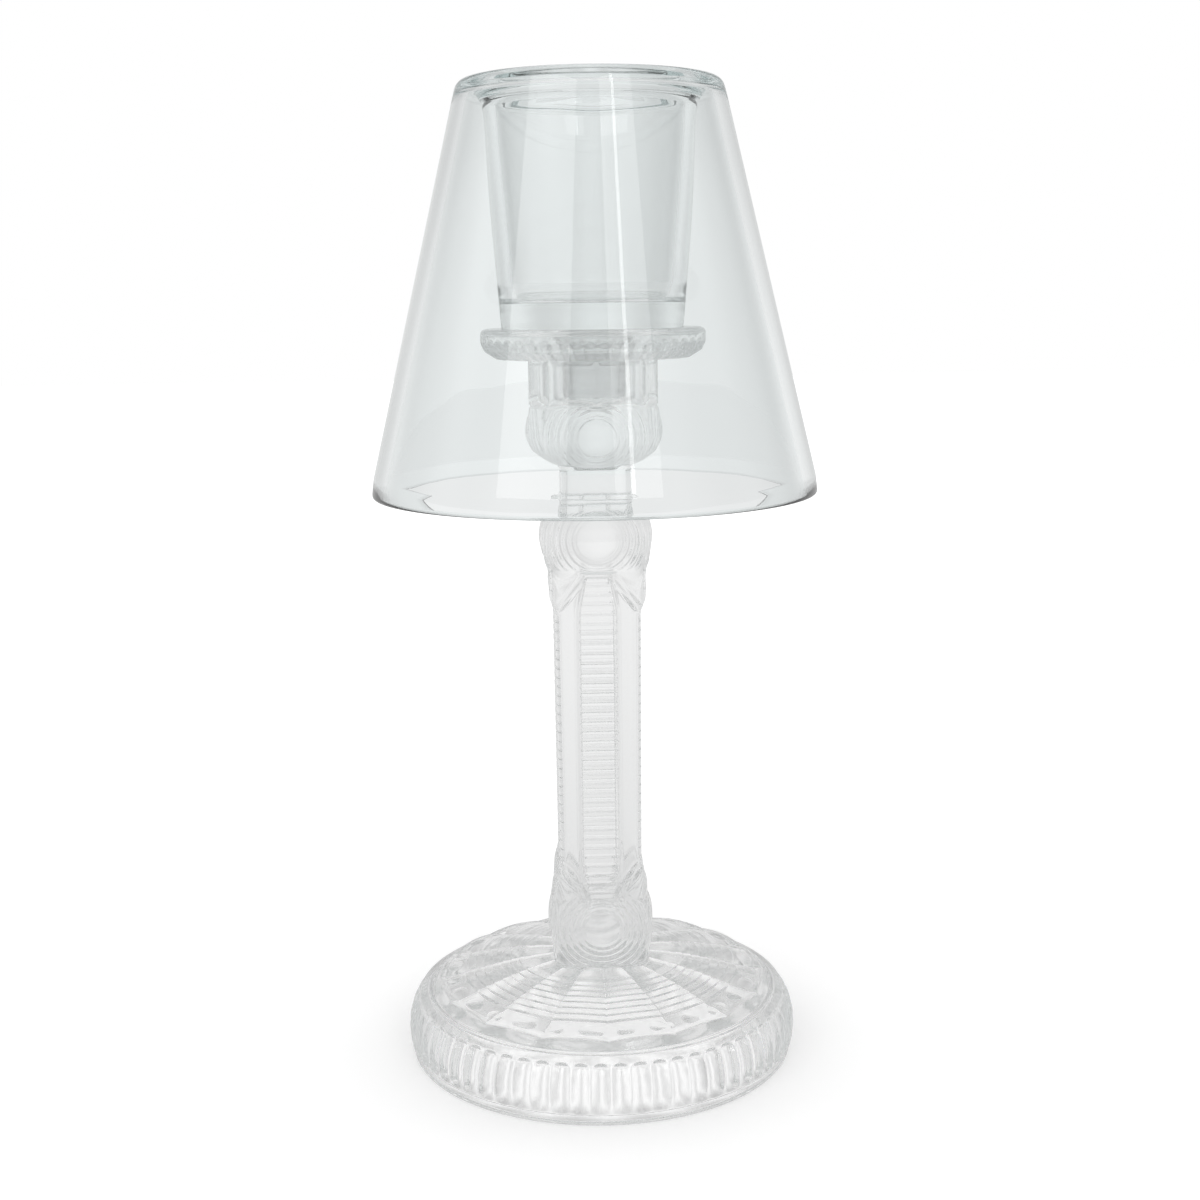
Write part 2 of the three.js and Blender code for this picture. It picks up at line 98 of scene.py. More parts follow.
# The beaded band, the crest and the slope between the crest and the dome's edge
BEAD_COUNT = 128
BEAD_HEIGHT = 0.08
BEAD_POWER = 0.7
BEAD_BAND_INWARD = (0.3, 1.9)  # where it starts from the flutes' top, and how far it goes
BEAD_BAND_UP = (0.25, 0.85)
BEAD_ROWS = 8
CREST_RADIUS = 51.6
CREST_Z = 18.9
CREST_HALF_WIDTH = 0.75
CREST_STAND = 0.55
CREST_ARC = (15, 150)  # its start and its length in degrees
CREST_ROWS = 9
SLOPE_START = 0.8
SLOPE_SINK = 0.5
SLOPE_RISE = [(0, 0), (0.25, 0.35), (0.7, 0.9), (1, 1)]
SLOPE_ROWS = 13

# The dome, with its petals, terraces and bumps
DOME_EDGE_RADIUS = 47.4
DOME_EDGE_Z = 22
DOME_TOP_Z = 28.4
DOME_START_RADIUS = 13.0
DOME_CURVE = 1.55
DOME_ROW_PITCH = 0.32
DOME_ROWS_MARGINS = (0.35, 0.3)  # from the dome's edge, and from the outermost terrace
PETAL_COUNT = 16
PETAL_SWELL = 1.0
PETAL_POWER = 0.8
TERRACE_COUNT = 7
TERRACE_INNER = 25.0
TERRACE_OUTER = 41.1
TERRACE_CUSP = 1.2
TERRACE_STEP = 0.4
INNERMOST_STEP_SHARE = 0.55
# Rows of a terrace in shares of the pitch from its line: one at the riser's foot, five across the tread
TERRACE_ROWS = (0.035, -0.035, -0.12, -0.4, -0.7, -0.93)
MIDDLE_ROWS = 18
TO_STEM_SHAPE = (0.2, 1.0)  # where the smooth middle starts and ends to take on the stem's shape
PETALS_FADE = (0.75, 1.0)
BUMP_COUNT = 28
BUMP_RADIUS = 44.6
BUMP_HEIGHT = 0.8
BUMP_HALF_WIDTHS = (3.9, 2.7)
BUMP_HALF_LENGTH = 2.4
BUMP_POWER = 2.4
BUMP_TILT = 0.28

# Stem
STEM_START_Z = DOME_TOP_Z + 0.4
STEM_START_GAP = 0.35
STEM_ROW_PITCH = 0.36
STEM_ROW_GAP = 0.1
LOWER_HORNS_END = 65.0
UPPER_HORNS_END = 131.0

# The column, with a ladder between two gutters on each face
COLUMN_LOW_FLAT = 11.9
COLUMN_HIGH_FLAT = 12.45
COLUMN_CHAMFER = 1.5
COLUMN_LOW_Z = 47.9
COLUMN_HIGH_Z = 145.4
CHAMFER_POWER = 60.0
RUNG_COUNT = 35
RUNG_ROWS = (0, 0.09, 0.2, 0.45, 0.75, 0.92)  # shares of the pitch, closest together at the groove
LADDER_HALF_WIDTH = 5.2
LADDER_END_HALF_WIDTH = 3.5
LADDER_END_LENGTH = 12
LADDER_EDGE = 0.25
LADDER_STAND = 0.3
LADDER_GROOVE = 0.6
GROOVE_ABOVE = 0.14  # reach of a rung's groove over and under its line, in shares of the pitch
GROOVE_BELOW = 0.08
GROOVE_BELOW_SHARE = 0.8
GUTTER_WIDTH = 1.1
GUTTER_DEPTH = 0.55
GUTTER_NEAR_WALL = (-0.1, 0.4)  # where it starts and ends, from the ladder's edge
GUTTER_FAR_WALL = (-0.5, 0.2)  # the same, from the gutter's width

# The knuckles, with a rosette on each face and a horn on each corner
CORNER_POWER = 6.5
LOWER_WIDTHS = [(28.0, 13.2), (30.0, 13.8), (33.4, 14.2), (38.0, 14.6), (42.7, 14.5), (46.5, 14.0),
                (50.3, 13.8), (56.4, 13.7), (60.8, 13.4), (63.0, 13.1)]
LOWER_ROSETTE_Z = 40.6
UPPER_ROSETTE_Z = 155.7
LOWER_DISC_RADIUS = 5.7
UPPER_DISC_RADIUS = 6.2
DISC_STAND = 1.1
DISC_ROUNDING = 0.45  # share of its stand that a disc loses towards its edge
DISC_EDGE = (-0.45, 0.15)
RING_START = 6.6
RING_PITCH = 1.75
RING_COUNT = 5
RING_STAND = 0.45
RING_POWER = 0.8
RINGS_BEGIN = (-0.5, -0.3)  # in pitches from the first ring
RINGS_STOP = (-0.6, -0.4)  # in pitches from where one ring more would be
RINGS_FADE = (6.8, 9.2)
HORN_ROOT = 3.8
HORN_SPREAD = 12.6
LOWER_HORN = (7.3, 12.5)  # where the notch starts from the rosette's middle, and its length
UPPER_HORN = (10.3, 10.5)
# The horns' bevel down into the notch, and the crease that runs beside it
BEVEL = 1.2
NOTCH_LIP = 0.1
HORN_CREASE = 0.8
CREASE_REACH = (-1.6, -0.2)  # from the notch's edge
CREASE_START = 1  # how far before the notch

# Neck, knop, socket and collar
NECK_LOW_Z = 166.1
NECK_HIGH_Z = 175.9
NECK_HALF_WIDTH = 10.2
NECK_CHAMFER = 1.9
NECK_FLARE = 0.6
NECK_FLARE_REACH = (3.6, 5.2)  # from the neck's middle
NECK_ROWS = 10
UPPER_WIDTHS = [(132.0, 13.3), (134.0, 13.8), (138.1, 14.3), (144.2, 14.0), (148.2, 14.5), (152.3, 15.1),
                (155.4, 15.4), (158.4, 15.1), (162.2, 13.4), (NECK_LOW_Z, NECK_HALF_WIDTH)]
KNOP_HIGH_Z = 192.9
KNOP_HALF_WIDTH = 18.9
KNOP_MARGIN = 0.5
KNOP_POWER = 3.5
KNOP_SHARES = [(0.0, 0.6), (0.12, 0.78), (0.27, 0.93), (0.55, 1.0), (0.85, 0.98), (1.0, 0.955)]
KNOP_PLAIN_END = 1.2
SOCKET_RADIUS = 18.3
SOCKET_PANELS = 8
SOCKET_SCOOP = 2.1
SOCKET_PLAIN_END = 0.3
SOCKET_ROUND_END = 3.2
SOCKET_SECTION_POWER = 1.8
SOCKET_CORNER_SHARE = 0.35
SOCKET_ENDS_ROWED = 4  # how far up its rows are close together
SOCKET_TOP_GAP = 0.6
SOCKET_LOW_ROWS = 12
SOCKET_HIGH_ROWS = 6
COLLAR_LOW_Z = 205.9
COLLAR_RADIUS = 31.8
COLLAR_FLUTES = 48
COLLAR_FLUTE_DEPTH = 0.8
COLLAR_FLUTE_POWER = 1.6
COLLAR_FLUTES_RADII = (24, 28)
COLLAR_FLUTES_HEIGHTS = (3.2, 5.6)
SEAT_DEPTH = 2.0
SEAT_RADIUS = 26.8
BORE_RADIUS = 11.9
BORE_DEPTH = 21.5

# Cup, sleeve and shade
LOOSE_GAP = 0.3  # between one loose glass and the next
CUP_BOTTOM = COLLAR_TOP - SEAT_DEPTH + LOOSE_GAP
CUP_FLOOR = CUP_BOTTOM + 8.8
CUP_FOOT_RADIUS = 26.0
CUP_RIM_WALL = 3.8
CUP_LOW_WALL = 4.2
CUP_SWAY = 0.02
CUP_SWAY_WAVES = 6
CUP_SWAY_TWIST = 0.04
PEG_RADIUS = 9.8
SLEEVE_RIBS = 3
SLEEVE_RIB_HALF_HEIGHT = 1.2
SLEEVE_GAP = 0.3
SHADE_WALL = 3.5
SHADE_SKIRT = 5.5
SHADE_CONE_TOP_RADIUS = 38.2
SHADE_CONE_TOP = SHADE_TOP - 4.5
SHADE_CONE_HEIGHT = 110.3
SHADE_HOLE_RADIUS = 25.4
SHADE_REST = CUP_TOP + LOOSE_GAP
SHADE_SWAY = 0.035
# Streaks down the blown wall: waves round the shade, phase, twist and share of the sway
SHADE_STREAKS = ((5, 0.6, 0.0, 1.0), (9, 2.0, 0.004, 0.7), (17, 4.0, 0.0, 0.5))


def smoothstep(value, low=0.0, high=1.0):
    t = np.clip((value - low) / (high - low), 0, 1)
    return t * t * (3 - 2 * t)


def through(points, value):
    """A smooth curve through (place, value) points, level at each local extreme."""
    x = np.array([p[0] for p in points], float)
    y = np.array([p[1] for p in points], float)
    secants = np.diff(y) / np.diff(x)
    slopes = np.zeros(len(x))
    same_way = secants[1:] * secants[:-1] > 0
    mean = 2 * secants[1:] * secants[:-1] / np.where(same_way, secants[1:] + secants[:-1], 1)
    slopes[1:-1] = np.where(same_way, mean, 0)
    slopes[0], slopes[-1] = secants[0], secants[-1]
    value = np.clip(np.asarray(value, float), x[0], x[-1])
    k = np.clip(np.searchsorted(x, value) - 1, 0, len(x) - 2)
    width = x[k + 1] - x[k]
    t = (value - x[k]) / width
    return ((2 * t**3 - 3 * t**2 + 1) * y[k] + (t**3 - 2 * t**2 + t) * width * slopes[k]
            + (3 * t**2 - 2 * t**3) * y[k + 1] + (t**3 - t**2) * width * slopes[k + 1])


# Meshes

FILLET_SHARE = 0.49  # the most of a straight that one fillet takes up
FILLET_TURN = 0.2  # the angle of a fillet's pieces, in radians


def even_angles(count):
    return -TAU / 8 + TAU * np.arange(count) / count


def face_angles(count):
    """Angles whose points are evenly spaced across each of four flat faces."""
    across = -1 + 2 * np.arange(count // 4) / (count // 4)
    return np.concatenate([np.arctan(across) + quarter * TAU / 4 for quarter in range(4)])


def across_parts(angles, count):
    """0 in the middle of each of count equal parts round the axis, and 1 at their edges."""
    return np.abs(((angles * count / TAU) % 1) * 2 - 1)


def ring(angles, radius, height):
    radius = np.broadcast_to(radius, angles.shape)
    height = np.broadcast_to(height, angles.shape)
    return np.stack([radius * np.cos(angles), radius * np.sin(angles), height], axis=1)


def stitched(low_start, low_count, high_start, high_count):
    """Triangles between two rings with different numbers of points."""
    faces = []
    i = j = 0
    while i < low_count or j < high_count:
        low_next, high_next = (i + 1) / low_count, (j + 1) / high_count
        low, high = low_start + i % low_count, high_start + j % high_count
        if j >= high_count or (i < low_count and low_next <= high_next + 1e-9):
            faces.append((low, low_start + (i + 1) % low_count, high))
            i += 1
        else:
            faces.append((low, high_start + (j + 1) % high_count, high))
            j += 1
    return faces


def mesh_from(name, points, quads, triangles):
    """A smooth-shaded mesh object in metres from points in millimetres."""
    quads = np.asarray(quads, np.int32).reshape(-1, 4)
    triangles = np.asarray(triangles, np.int32).reshape(-1, 3)
    mesh = bpy.data.meshes.new(name)
    mesh.vertices.add(len(points))
    mesh.vertices.foreach_set("co", (points * MM).astype(np.float32).ravel())
    mesh.loops.add(quads.size + triangles.size)
    mesh.loops.foreach_set("vertex_index", np.concatenate([quads.ravel(), triangles.ravel()]))
    mesh.polygons.add(len(quads) + len(triangles))
    starts = np.concatenate([np.arange(len(quads)) * 4, quads.size + np.arange(len(triangles)) * 3])
    mesh.polygons.foreach_set("loop_start", starts.astype(np.int32))
    mesh.update(calc_edges=True)
    mesh.validate()
    mesh.shade_smooth()
    made = bpy.data.objects.new(name, mesh)
    bpy.context.scene.collection.objects.link(made)
    return made


def skinned(name, rings, closed=False):
    """A mesh through a stack of rings, with its ends capped, or joined where closed is true."""
    starts = np.cumsum([0] + [len(r) for r in rings])
    points = list(rings)
    quads, triangles = [], []
    pairs = [(k, k + 1) for k in range(len(rings) - 1)] + ([(len(rings) - 1, 0)] if closed else [])
    for low, high in pairs:
        count = len(rings[low])
        if count == len(rings[high]):
            here = np.arange(count)
            after = (here + 1) % count
            quads.append(np.stack([starts[low] + here, starts[low] + after,
                                   starts[high] + after, starts[high] + here], axis=1))
        else:
            triangles += stitched(starts[low], count, starts[high], len(rings[high]))
    if not closed:
        for level, flipped in ((0, True), (len(rings) - 1, False)):
            centre = int(starts[-1]) + (0 if flipped else 1)
            here = np.arange(len(rings[level]))
            after = (here + 1) % len(rings[level])
            first, second = (after, here) if flipped else (here, after)
            triangles += [(int(starts[level] + a), int(starts[level] + b), centre)
                          for a, b in zip(first, second)]
            points.append(np.array([[0, 0, rings[level][:, 2].mean()]]))
    return mesh_from(name, np.concatenate(points), np.concatenate(quads), triangles)


def filleted(corners, step, closed=False):
    """Points along a profile: each corner rounded, each straight cut in steps."""
    count = len(corners)
    path = []
    for index, (r, z, fillet) in enumerate(corners):
        here = np.array([r, z], float)
        inside = closed or 0 < index < count - 1
        if not inside or fillet == 0:
            path.append(here)
            continue
        before = np.array(corners[index - 1][:2], float) - here
        after = np.array(corners[(index + 1) % count][:2], float) - here
        reach_before, reach_after = np.hypot(*before), np.hypot(*after)
        before, after = before / reach_before, after / reach_after
        turn = math.pi - math.acos(float(np.clip(before @ after, -1, 1)))
        reach = min(fillet * math.tan(turn / 2), reach_before * FILLET_SHARE, reach_after * FILLET_SHARE)
        pieces = max(2, int(turn / FILLET_TURN))
        for k in range(pieces + 1):
            t = k / pieces
            start, end = here + before * reach, here + after * reach
            path.append((1 - t)**2 * start + 2 * t * (1 - t) * here + t * t * end)
    cut = []
    ends = path[1:] + ([path[0]] if closed else [])
    for start, end in zip(path, ends):
        parts = max(1, int(np.hypot(*(end - start)) / step))
        cut += [start + (end - start) * k / parts for k in range(parts)]
    return cut if closed else cut + [path[-1]]


# Foot

def dome_z(radius):
    along = np.clip((radius - DOME_START_RADIUS) / (DOME_EDGE_RADIUS - DOME_START_RADIUS), 0, None)
    return DOME_TOP_Z - (DOME_TOP_Z - DOME_EDGE_Z) * along**DOME_CURVE


def petal(angles):
    """0 at the notches between petals and 1 along their middles."""
    return np.abs(np.sin(PETAL_COUNT / 2 * angles))**PETAL_POWER


def petal_lift(angles, radius):
    return PETAL_SWELL * (petal(angles) - 1) * np.minimum(1, radius / TERRACE_OUTER)


def scalloped(angles, radius):
    """A radius drawn in at the notches between petals."""
    return radius - TERRACE_CUSP * (1 - petal(angles)) * np.minimum(1, radius / TERRACE_OUTER)


def bumps(angles, radius):
    """Relief of the oval bumps near the dome's edge, wide and narrow in turn, fuller on their outer side."""
    pitch = TAU / BUMP_COUNT
    number = np.floor(angles / pitch)
    from_middle = (angles - (number + 0.5) * pitch) * BUMP_RADIUS
    half_width = np.where(number % 2 == 0, *BUMP_HALF_WIDTHS)
    out = (radius - BUMP_RADIUS) / BUMP_HALF_LENGTH
    reach = np.hypot(from_middle / half_width, out)
    crown = np.clip(1 - reach**BUMP_POWER, 0, 1)
    return BUMP_HEIGHT * crown * (1 - BUMP_TILT + BUMP_TILT * np.clip(out, -1, 1))


def underside():
    """The hollow from its middle outwards, and the ring that the foot stands on."""
    path = filleted([*FOOT_HOLLOW, (FOOT_RING_INNER, 0.0, FOOT_RING_FILLET),
                     (FOOT_RING_RADIUS, 0.0, FOOT_RING_FILLET),
                     (FOOT_RING_RADIUS, FOOT_RING_HEIGHT * FOOT_RING_UPRIGHT, 0)], step=2.0)
    angles = even_angles(PLAIN_COLUMNS)
    return [ring(angles, r, z) for r, z in path]


def flutes():
    """The rim's flutes: scoops with round ends between sharp ridges, over a swelling band."""
    angles = even_angles(FOOT_COLUMNS)
    across = across_parts(angles, FLUTE_COUNT)
    middle, reach = (FLUTE_LOW + FLUTE_HIGH) / 2, (FLUTE_HIGH - FLUTE_LOW) / 2
    across_power, up_power = FLUTE_CORNER_POWERS
    rows = np.linspace(FLUTE_LOW - FLUTE_MARGIN, FLUTE_HIGH + FLUTE_MARGIN, FLUTE_ROWS)
    rings = []
    for z in np.concatenate([[FOOT_RING_HEIGHT], rows]):
        up = np.abs((z - middle) / reach)
        end = np.clip(1 - up**FLUTE_END_POWER - across**across_power * up**up_power, 0, 1)
        scoop = FLUTE_DEPTH * (1 - across**FLUTE_SECTION_POWER) * end**FLUTE_LIP_POWER
        rings.append(ring(angles, through(RIM_PROFILE, z) - scoop, z))
    return rings


def crest():
    """The beaded band above the flutes, the crest and the slope from it up to the dome's edge."""
    angles = even_angles(FOOT_COLUMNS)
    bead = np.abs(np.sin(BEAD_COUNT / 2 * angles))**BEAD_POWER
    rings = []
    for t in np.linspace(0, 1, BEAD_ROWS):
        radius = FLUTE_TOP_RADIUS - BEAD_BAND_INWARD[0] - t * BEAD_BAND_INWARD[1]
        lift = BEAD_HEIGHT * bead * math.sin(math.pi * t)
        rings.append(ring(angles, radius, FLUTE_HIGH + BEAD_BAND_UP[0] + BEAD_BAND_UP[1] * t + lift))
    for t in np.linspace(0, 1, CREST_ROWS):
        turn = math.radians(CREST_ARC[0] + CREST_ARC[1] * t)
        rings.append(ring(angles, CREST_RADIUS + CREST_HALF_WIDTH * math.cos(turn),
                          CREST_Z - CREST_STAND + CREST_STAND * math.sin(turn)))
    outer = CREST_RADIUS - SLOPE_START
    for t in np.linspace(FIRST_ROW, 1, SLOPE_ROWS):
        radius = outer - t * (outer - DOME_EDGE_RADIUS)
        z = CREST_Z - SLOPE_SINK + through(SLOPE_RISE, t) * (dome_z(DOME_EDGE_RADIUS) - CREST_Z + SLOPE_SINK)
        rings.append(ring(angles, radius, z + t * petal_lift(angles, radius)))
    return rings


def terraced_dome():
    """The dome from its edge to the stem: bumps, scalloped terraces and a smooth middle."""
    angles = even_angles(FOOT_COLUMNS)
    rings = []

    def add_row(radius, extra):
        drawn_in = scalloped(angles, radius)
        z = dome_z(radius) + petal_lift(angles, radius) + bumps(angles, drawn_in) + extra
        rings.append(ring(angles, drawn_in, z))

    edge_margin, terrace_margin = DOME_ROWS_MARGINS
    for radius in np.arange(DOME_EDGE_RADIUS - edge_margin, TERRACE_OUTER + terrace_margin, -DOME_ROW_PITCH):
        add_row(radius, -TERRACE_STEP / 2)
    pitch = (TERRACE_OUTER - TERRACE_INNER) / (TERRACE_COUNT - 1)
    for number in range(TERRACE_COUNT - 1, -1, -1):
        line = TERRACE_INNER + pitch * number
        step_share = INNERMOST_STEP_SHARE + (1 - INNERMOST_STEP_SHARE) * number / (TERRACE_COUNT - 1)
        for along in TERRACE_ROWS:
            tread = 0.5 + along if along < 0 else -0.5
            add_row(line + along * pitch, TERRACE_STEP * step_share * tread)
    stem_edge = stem_radius(angles, STEM_START_Z) + STEM_START_GAP
    start = TERRACE_INNER - pitch
    for t in np.linspace(FIRST_ROW, 1, MIDDLE_ROWS):
        plain = start + (DOME_START_RADIUS - start) * t
        drawn_in = scalloped(angles, plain)
        radius = drawn_in + smoothstep(t, *TO_STEM_SHAPE) * (stem_edge - drawn_in)
        z = dome_z(plain) + petal_lift(angles, plain) * (1 - smoothstep(t, *PETALS_FADE))
        rings.append(ring(angles, radius, z))
    return rings


# Stem

def local(angles):
    """Each angle measured from the middle of its own face, from -45 to 45 degrees."""
    return (angles + TAU / 8) % (TAU / 4) - TAU / 8


def squircle(across, half_width, power):
    """A square with rounded corners: the higher the power, the sharper they are."""
    return half_width / (np.abs(np.cos(across))**power + np.abs(np.sin(across))**power)**(1 / power)


def chamfered(across, flat, chamfer):
    """A square with chamfered corners, from the distance of its faces."""
    diagonal = (2 * flat - chamfer) / math.sqrt(2)
    face = flat / np.cos(across)
    corner = diagonal / np.cos(TAU / 8 - np.abs(across))
    return (face**-CHAMFER_POWER + corner**-CHAMFER_POWER)**(-1 / CHAMFER_POWER)


def ladder_half_width(z):
    ends = np.minimum(z - COLUMN_LOW_Z, COLUMN_HIGH_Z - z)
    widening = smoothstep(ends, 0, LADDER_END_LENGTH)
    return LADDER_END_HALF_WIDTH + (LADDER_HALF_WIDTH - LADDER_END_HALF_WIDTH) * widening


def column_radius(across, z):
    """The column: a chamfered square with a ladder of rungs between two gutters on each face."""
    along = (z - COLUMN_LOW_Z) / (COLUMN_HIGH_Z - COLUMN_LOW_Z)
    flat = COLUMN_LOW_FLAT + (COLUMN_HIGH_FLAT - COLUMN_LOW_FLAT) * along
    beside = np.abs(flat * np.tan(across)) - ladder_half_width(z)
    panel = 1 - smoothstep(beside, -LADDER_EDGE, LADDER_EDGE)
    gutter = smoothstep(beside, *GUTTER_NEAR_WALL) * (1 - smoothstep(beside - GUTTER_WIDTH, *GUTTER_FAR_WALL))
    pitch = (COLUMN_HIGH_Z - COLUMN_LOW_Z) / RUNG_COUNT
    rung = ((z - COLUMN_LOW_Z) / pitch) % 1
    louvre = math.exp(-(rung / GROOVE_ABOVE)**2) \
        + GROOVE_BELOW_SHARE * math.exp(-((1 - rung) / GROOVE_BELOW)**2)
    relief = panel * (LADDER_STAND - LADDER_GROOVE * min(1, louvre)) - gutter * GUTTER_DEPTH
    return chamfered(across, flat, COLUMN_CHAMFER) + relief / np.cos(across)


def rosette(sideways, up, disc_radius):
    """Relief of a domed disc inside concentric rings."""
    reach = np.hypot(sideways, up)
    disc = DISC_STAND * (1 - DISC_ROUNDING * (reach / disc_radius)**2) \
        * (1 - smoothstep(reach - disc_radius, *DISC_EDGE))
    phase = (reach - RING_START) / RING_PITCH
    rings = RING_STAND * (0.5 + 0.5 * np.cos(TAU * phase))**RING_POWER
    rings *= smoothstep(phase, *RINGS_BEGIN) * (1 - smoothstep(phase - RING_COUNT, *RINGS_STOP))
    return disc + rings


def knuckle_radius(across, z, half_width, rosette_z, side, horn, disc_radius):
    """A squarish block that ends, towards the column, in a horn on each corner."""
    start, length = horn
    along = side * (z - rosette_z)
    block = squircle(across, half_width, CORNER_POWER)
    sideways = np.abs(block * np.sin(across))
    rings_left = 1 - smoothstep(along, *RINGS_FADE)
    block = block + rosette(sideways, z - rosette_z, disc_radius) * rings_left
    slope = (HORN_SPREAD - HORN_ROOT) / length
    spread = HORN_ROOT + np.clip(along - start, 0, None) * slope
    into_notch = np.minimum(along - start, (spread - sideways) / math.hypot(1, slope))
    open_share = smoothstep(into_notch, -NOTCH_LIP, BEVEL - NOTCH_LIP)
    crease = smoothstep(into_notch, *CREASE_REACH) * (1 - open_share) * (along > start - CREASE_START)
    block = block - HORN_CREASE * crease
    shaft = column_radius(across, z)
    return np.where(block > shaft, block + (shaft - block) * open_share, shaft)


def neck_radius(across, z):
    from_middle = abs(z - (NECK_LOW_Z + NECK_HIGH_Z) / 2)
    flat = NECK_HALF_WIDTH + NECK_FLARE * smoothstep(from_middle, *NECK_FLARE_REACH)
    return chamfered(across, flat, NECK_CHAMFER)


def knop_radius(across, z):
    height = KNOP_HIGH_Z - NECK_HIGH_Z
    share = through(KNOP_SHARES, (z - NECK_HIGH_Z) / height)
    bowl = squircle(across, (KNOP_HALF_WIDTH - KNOP_MARGIN) * share, KNOP_POWER)
    sideways = np.abs(bowl * np.sin(across))
    ends = smoothstep(min(z - NECK_HIGH_Z, KNOP_HIGH_Z - z), 0, KNOP_PLAIN_END)
    return bowl + ends * rosette(sideways, z - NECK_HIGH_Z - height / 2, LOWER_DISC_RADIUS)


def socket_radius(angles, z):
    """Scooped panels with round lower ends."""
    across = across_parts(angles, SOCKET_PANELS)
    rise = np.clip((z - KNOP_HIGH_Z - SOCKET_PLAIN_END) / SOCKET_ROUND_END, 0, 1)
    ends = np.sqrt(np.clip(1 - (1 - rise)**2, 0, 1))
    opened = np.clip(ends - SOCKET_CORNER_SHARE * across**2 * (1 - rise), 0, 1)
    return SOCKET_RADIUS - SOCKET_SCOOP * (1 - across**SOCKET_SECTION_POWER) * opened


def stem_radius(angles, z):
    """The radius of whichever part of the stem is at a height."""
    across = local(angles)
    if z < LOWER_HORNS_END:
        width = through(LOWER_WIDTHS, z)
        return knuckle_radius(across, z, width, LOWER_ROSETTE_Z, 1, LOWER_HORN, LOWER_DISC_RADIUS)
    if z < UPPER_HORNS_END:
        return column_radius(across, z)
    if z < NECK_LOW_Z:
        width = through(UPPER_WIDTHS, z)
        return knuckle_radius(across, z, width, UPPER_ROSETTE_Z, -1, UPPER_HORN, UPPER_DISC_RADIUS)
    if z < NECK_HIGH_Z:
        return neck_radius(across, z)
    if z < KNOP_HIGH_Z:
        return knop_radius(across, z)
    return socket_radius(angles, z)


def rung_rows(low, high):
    """Heights between low and high that put rows in each rung."""
    pitch = (COLUMN_HIGH_Z - COLUMN_LOW_Z) / RUNG_COUNT
    rows = [COLUMN_LOW_Z + pitch * (rung + share)
            for rung in range(-2, RUNG_COUNT + 2) for share in RUNG_ROWS]
    return [z for z in rows if low <= z < high]


def stem():
    heights = [
        *np.arange(STEM_START_Z, LOWER_HORNS_END, STEM_ROW_PITCH),
        *rung_rows(LOWER_HORNS_END, UPPER_HORNS_END),
        *np.arange(UPPER_HORNS_END, NECK_LOW_Z, STEM_ROW_PITCH),
        *np.linspace(NECK_LOW_Z + STEM_ROW_GAP, NECK_HIGH_Z - STEM_ROW_GAP, NECK_ROWS),
        *np.arange(NECK_HIGH_Z + STEM_ROW_GAP, KNOP_HIGH_Z, STEM_ROW_PITCH),
        *np.linspace(KNOP_HIGH_Z + STEM_ROW_GAP, KNOP_HIGH_Z + SOCKET_ENDS_ROWED, SOCKET_LOW_ROWS),
        *np.linspace(KNOP_HIGH_Z + SOCKET_ENDS_ROWED + 1, COLLAR_LOW_Z - SOCKET_TOP_GAP, SOCKET_HIGH_ROWS),
    ]
    angles = face_angles(STEM_COLUMNS)
    return [ring(angles, stem_radius(angles, z), z) for z in heights]


# Collar, cup seat and bore

def collar():
    """The collar from the socket to its top face, with flutes on its underside."""
    angles = even_angles(STEM_COLUMNS)
    across = across_parts(angles, COLLAR_FLUTES)
    path = filleted([(SOCKET_RADIUS - 0.3, COLLAR_LOW_Z - 0.2, 0), (SOCKET_RADIUS + 0.6, COLLAR_LOW_Z, 0.5),
                     (COLLAR_RADIUS - 4.4, COLLAR_LOW_Z, 1.2), (COLLAR_RADIUS - 1.0, COLLAR_LOW_Z + 2.2, 1.5),
                     (COLLAR_RADIUS, COLLAR_LOW_Z + 4.6, 1.5), (COLLAR_RADIUS, COLLAR_TOP, 2.0),
                     (COLLAR_RADIUS - 4.2, COLLAR_TOP, 0)], step=0.6)
    rings = []
    for r, z in path:
        below = 1 - smoothstep(z - COLLAR_LOW_Z, *COLLAR_FLUTES_HEIGHTS)
        fluted = smoothstep(r, *COLLAR_FLUTES_RADII) * below
        rings.append(ring(angles, r - COLLAR_FLUTE_DEPTH * fluted * (1 - across**COLLAR_FLUTE_POWER), z))
    return rings


def seat_and_bore():
    """The seat for the cup in the collar's top, and the bore for its peg."""
    seat_z = COLLAR_TOP - SEAT_DEPTH
    bottom = seat_z - BORE_DEPTH
    path = filleted([(COLLAR_RADIUS - 4.3, COLLAR_TOP, 0), (SEAT_RADIUS + 0.2, COLLAR_TOP, 0.3),
                     (SEAT_RADIUS, seat_z, 0.4), (BORE_RADIUS, seat_z, 0.6), (BORE_RADIUS, bottom, 1.2),
                     (1.5, bottom, 0)], step=1.5)
    angles = even_angles(PLAIN_COLUMNS)
    return [ring(angles, r, z) for r, z in path]


def make_candlestick():
    rings = [*underside(), *flutes(), *crest(), *terraced_dome(), *stem(), *collar(), *seat_and_bore()]
    return skinned("candlestick_glass", rings)


# Cup, sleeve and shade

def revolved(name, corners, columns, step, sway=None, closed=False):
    """A turned piece. Its radius may sway with the angle and the height."""
    angles = even_angles(columns)
    rings = []
    for r, z in filleted(corners, step, closed):
        offset = sway(angles, r, z) if sway else 0.0
        rings.append(ring(angles, r + offset, z))
    return skinned(name, rings, closed)


